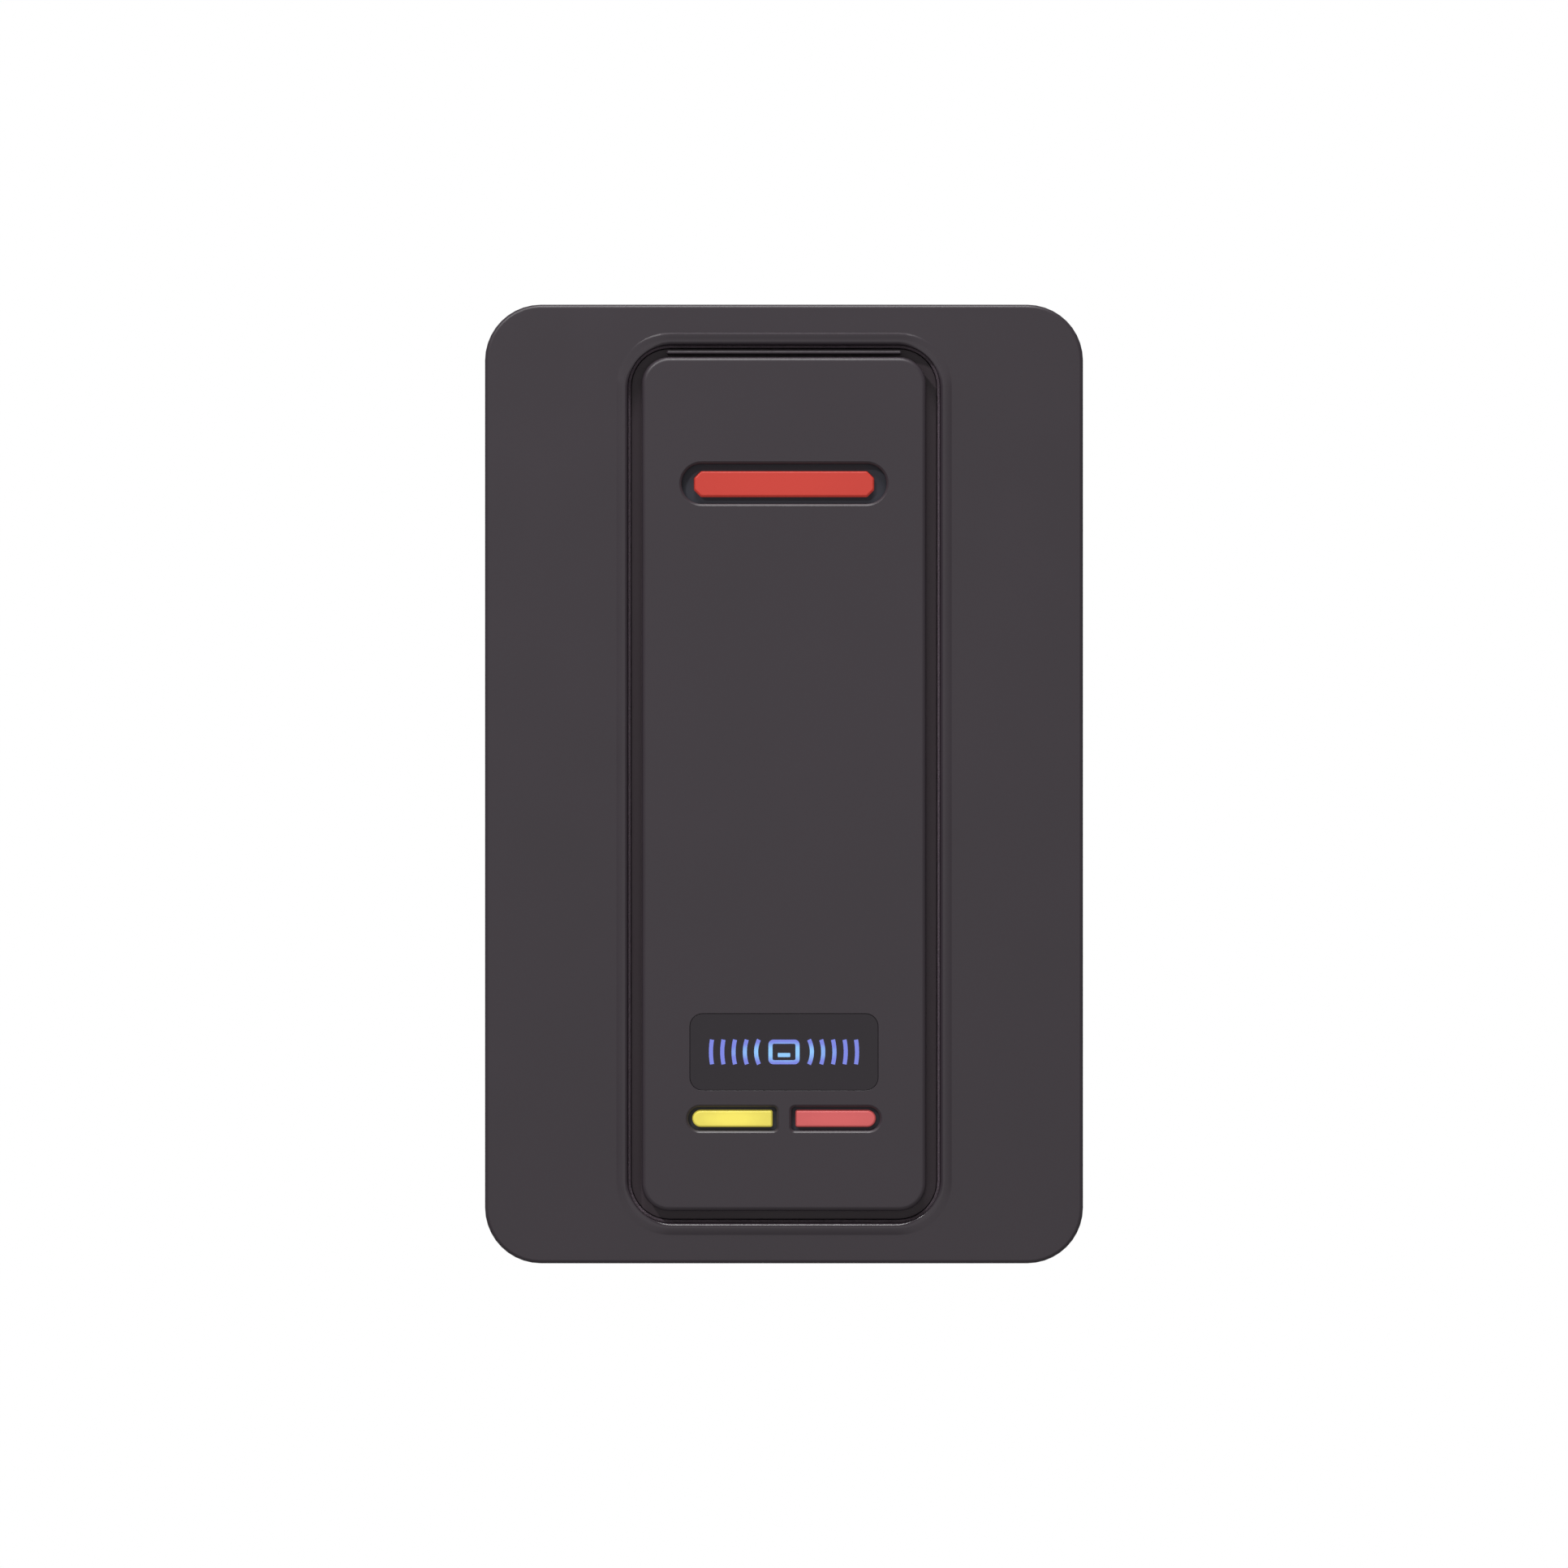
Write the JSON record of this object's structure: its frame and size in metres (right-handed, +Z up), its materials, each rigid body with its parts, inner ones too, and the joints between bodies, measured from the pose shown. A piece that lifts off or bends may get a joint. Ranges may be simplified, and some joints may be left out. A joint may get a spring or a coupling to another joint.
{
  "type": "proximity card reader",
  "caption": "Wall-mounted proximity card reader: slim face panel with lit windows, set in a wide rounded trim bezel over a screwed mounting plate.",
  "frame": {"origin": "midway between the two box screw holes, on the wall plane at the plate's back face", "axes": "+Z up the wall along the reader's height, +Y into the wall, -Y out of the front, +X to the viewer's right"},
  "size_m": [0.073, 0.018, 0.117],
  "materials": {
    "bezel_plastic": "satin moulded dark charcoal ABS",
    "face_plastic": "satin moulded dark charcoal ABS",
    "red_lens": "translucent red diffusing polycarbonate, lit",
    "yellow_lens": "translucent yellow diffusing polycarbonate, lit",
    "rose_lens": "translucent rose-red diffusing polycarbonate, lit",
    "smoked_window": "smoked acrylic, satin",
    "blue_legend": "pale blue translucent resin, lit",
    "clear_guide": "frosted light guide",
    "black_plastic": "black moulded ABS",
    "foam_rubber": "closed-cell foam rubber",
    "seal_rubber": "black silicone rubber",
    "zinc_steel": "zinc-plated steel",
    "board_laminate": "green solder mask on glass-epoxy laminate",
    "former_plastic": "natural nylon",
    "copper_wire": "enamelled copper wire",
    "chip_epoxy": "black moulding epoxy",
    "tinned_metal": "tin plating",
    "nickel_can": "nickel-plated can",
    "can_aluminium": "drawn aluminium can",
    "film_capacitor": "red-brown film capacitor case",
    "tan_ceramic": "tan ceramic",
    "disc_brass": "brass disc",
    "led_white": "white LED package",
    "white_plastic": "white acetal",
    "spring_steel": "stainless spring wire",
    "terminal_green": "green nylon"
  },
  "bodies": {
    "base": {"mounting_plate": "black_plastic", "wall_gasket": "foam_rubber", "core_tub": "black_plastic", "face_seal": "seal_rubber", "port_seal": "seal_rubber", "tub_screws": "zinc_steel", "board_screws": "zinc_steel", "circuit_board": "board_laminate", "coil_former": "former_plastic", "antenna_coil": "copper_wire", "coil_leads": "copper_wire", "controller_chip": "chip_epoxy", "radio_chip": "chip_epoxy", "chip_leads": "tinned_metal", "regulator": "chip_epoxy", "transistors": "chip_epoxy", "crystal": "nickel_can", "electrolytic_cans": "can_aluminium", "tuning_capacitors": "film_capacitor", "chip_resistors": "chip_epoxy", "chip_capacitors": "tan_ceramic", "chip_ends": "tinned_metal", "buzzer_case": "black_plastic", "buzzer_disc": "disc_brass", "status_leds": "led_white", "badge_leds": "led_white", "left_led": "led_white", "right_led": "led_white", "top_light_shield": "black_plastic", "low_light_shield": "black_plastic", "tamper_case": "black_plastic", "tamper_spring": "spring_steel", "tamper_legs": "tinned_metal", "terminal_block": "terminal_green", "terminal_clamps": "zinc_steel", "terminal_clamp_screws": "zinc_steel", "terminal_pins": "tinned_metal"},
    "trim": {"trim_bezel": "bezel_plastic"},
    "face": {"face_cover": "face_plastic", "top_lens": "red_lens", "left_lens": "yellow_lens", "right_lens": "rose_lens", "badge_window": "smoked_window", "badge_legend": "blue_legend", "badge_guide": "clear_guide"},
    "plunger": {"tamper_plunger": "white_plastic"}
  },
  "joints": [
    {"name": "trim_pull", "type": "slide", "parent": "base", "child": "trim", "axis": [0, -1, 0], "range_m": [0, 0.03]},
    {"name": "face_pull", "type": "slide", "parent": "base", "child": "face", "axis": [0, -1, 0], "range_m": [0, 0.03]},
    {"name": "tamper_rise", "type": "slide", "parent": "base", "child": "plunger", "axis": [0, -1, 0], "range_m": [0, 0.0015], "deforming": ["tamper_spring"]}
  ],
  "couplings": [
    {"joint": "tamper_rise", "follows": "face_pull", "ratio": 0.05}
  ]
}
